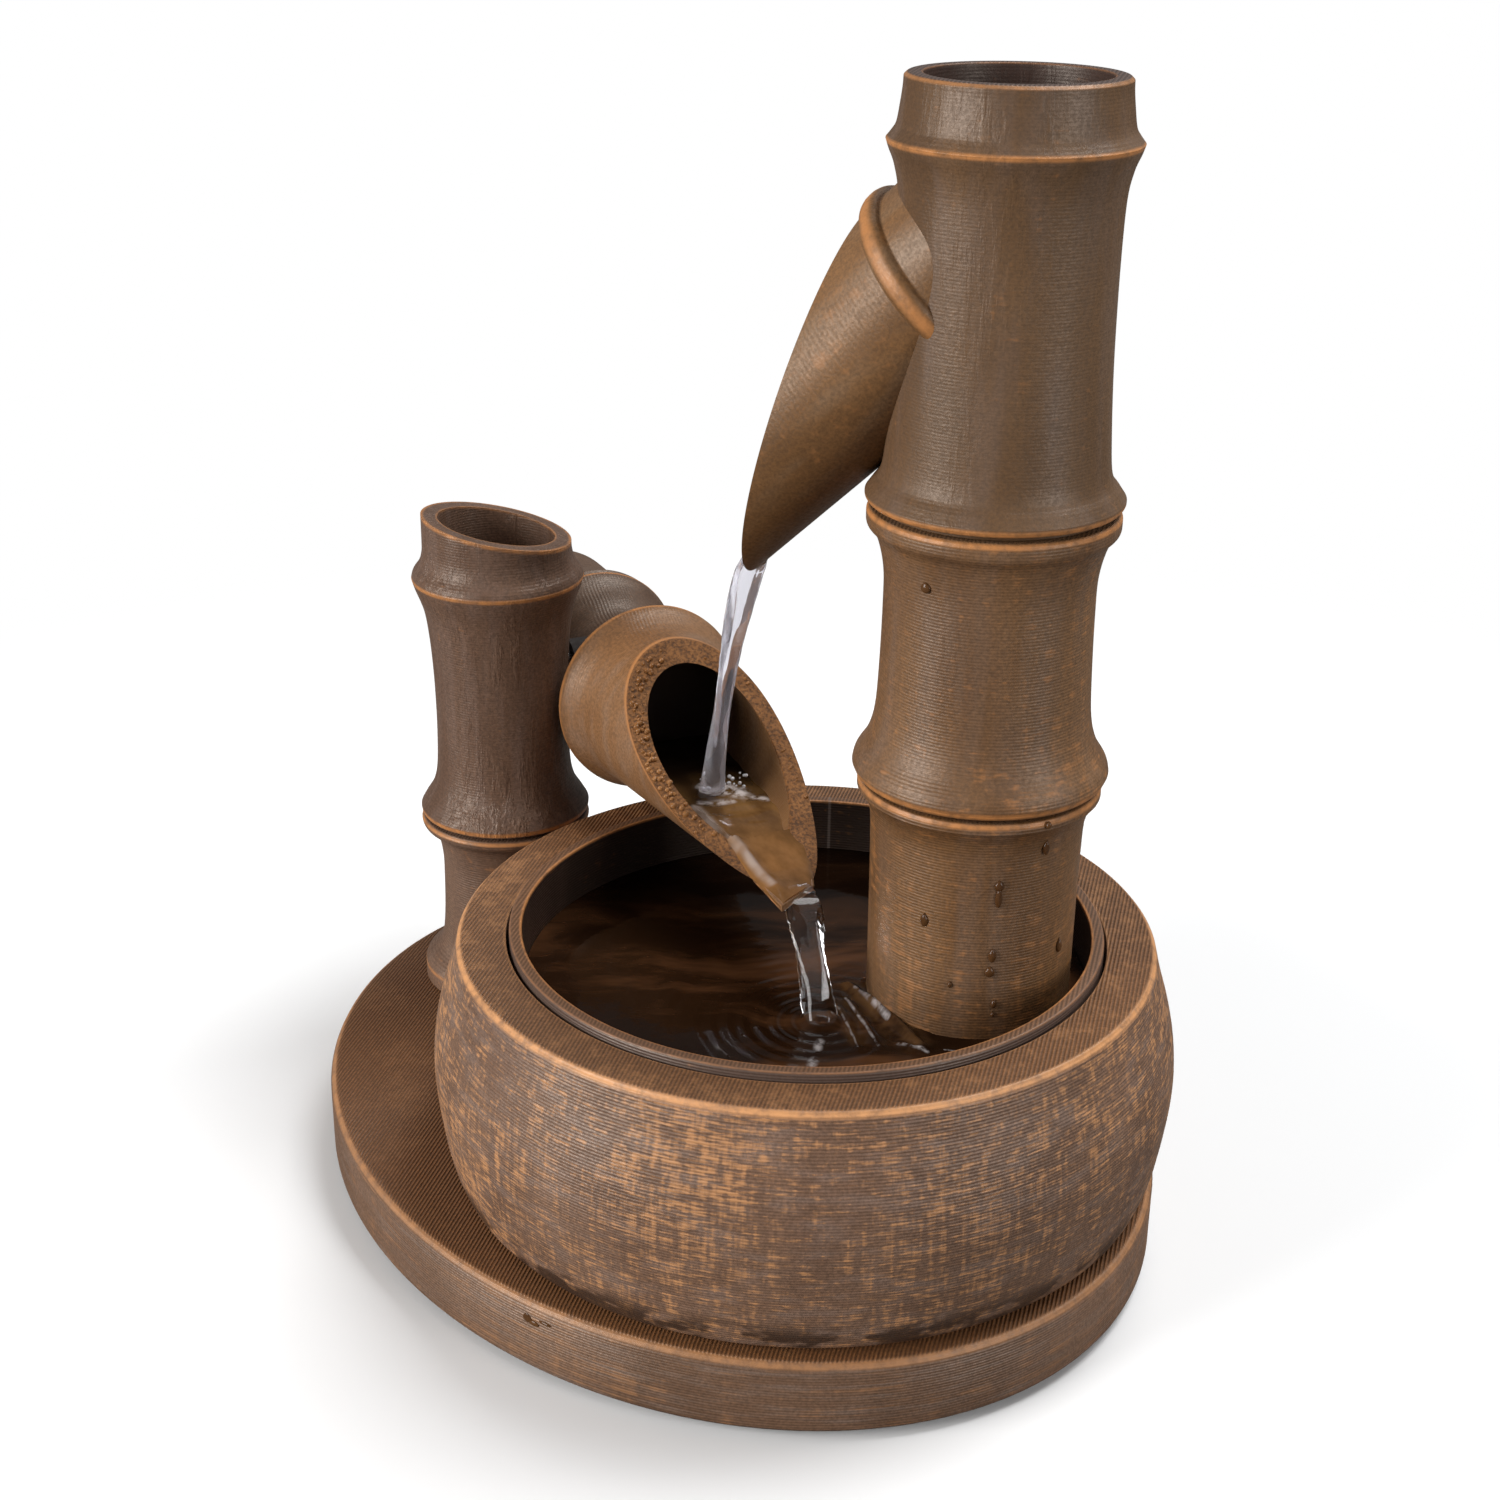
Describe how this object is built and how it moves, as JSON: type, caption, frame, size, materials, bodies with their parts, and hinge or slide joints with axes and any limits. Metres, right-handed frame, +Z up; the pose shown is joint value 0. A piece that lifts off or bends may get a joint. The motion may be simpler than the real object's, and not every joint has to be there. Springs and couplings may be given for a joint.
{
  "type": "tabletop bamboo fountain",
  "caption": "Tabletop fountain shaped like bamboo: an upper spout pours into a tipping tube that empties into a round bowl on an oval base plate.",
  "frame": {"origin": "on the surface that the rubber feet stand on, under the centre of the water bowl", "axes": "+Z up, -Y towards the front, +X towards the tall post's side"},
  "size_m": [0.1039, 0.1206, 0.1346],
  "materials": {
    "plate": "satin, printed, copper dry-brushed edge",
    "bowl": "satin, printed, dry-brushed",
    "basin": "satin, wet",
    "tall_post": "satin, printed, dry-brushed",
    "side_post": "satin, printed",
    "spout": "satin",
    "tube": "satin, wet mouth",
    "feet": "matt",
    "seal": "matt",
    "screw": "bright",
    "axle": "bright",
    "weight": "plain",
    "bush": "plain",
    "pump": "matt",
    "hose": "soft"
  },
  "bodies": {
    "stand": {"base_plate": "plate", "rubber_foot_1": "feet", "rubber_foot_2": "feet", "rubber_foot_3": "feet", "rubber_foot_4": "feet", "rubber_foot_5": "feet", "base_screw_1": "screw", "base_screw_2": "screw", "base_screw_3": "screw", "base_screw_4": "screw", "bowl_shell": "bowl", "inner_basin": "basin", "cable_gland": "seal", "post_lower": "tall_post", "post_middle": "tall_post", "post_upper": "tall_post", "outlet_plug": "pump", "spout": "spout", "pump_body": "pump", "pump_cover": "pump", "riser_hose": "hose", "side_post_lower": "side_post", "side_post_upper": "side_post", "axle": "axle", "axle_clip": "axle"},
    "tipping_tube": {"tube_front": "tube", "tube_waist": "tube", "tube_tail": "tube", "tail_cap": "tube", "tube_bulkhead": "tube", "counterweight": "weight", "axle_bush": "bush"},
    "impeller": {"pump_impeller": "pump"}
  },
  "joints": [
    {"name": "tube_tip", "type": "hinge", "parent": "stand", "child": "tipping_tube", "pos_m": [-0.02517, 0.04874, 0.05405], "axis": [-0.8942, -0.4478, 0], "range_deg": [0, 12]},
    {"name": "impeller_spin", "type": "hinge", "parent": "stand", "child": "impeller", "pos_m": [0.01859, -0.00409, 0.022], "axis": [0, 0, 1], "continuous": true}
  ]
}
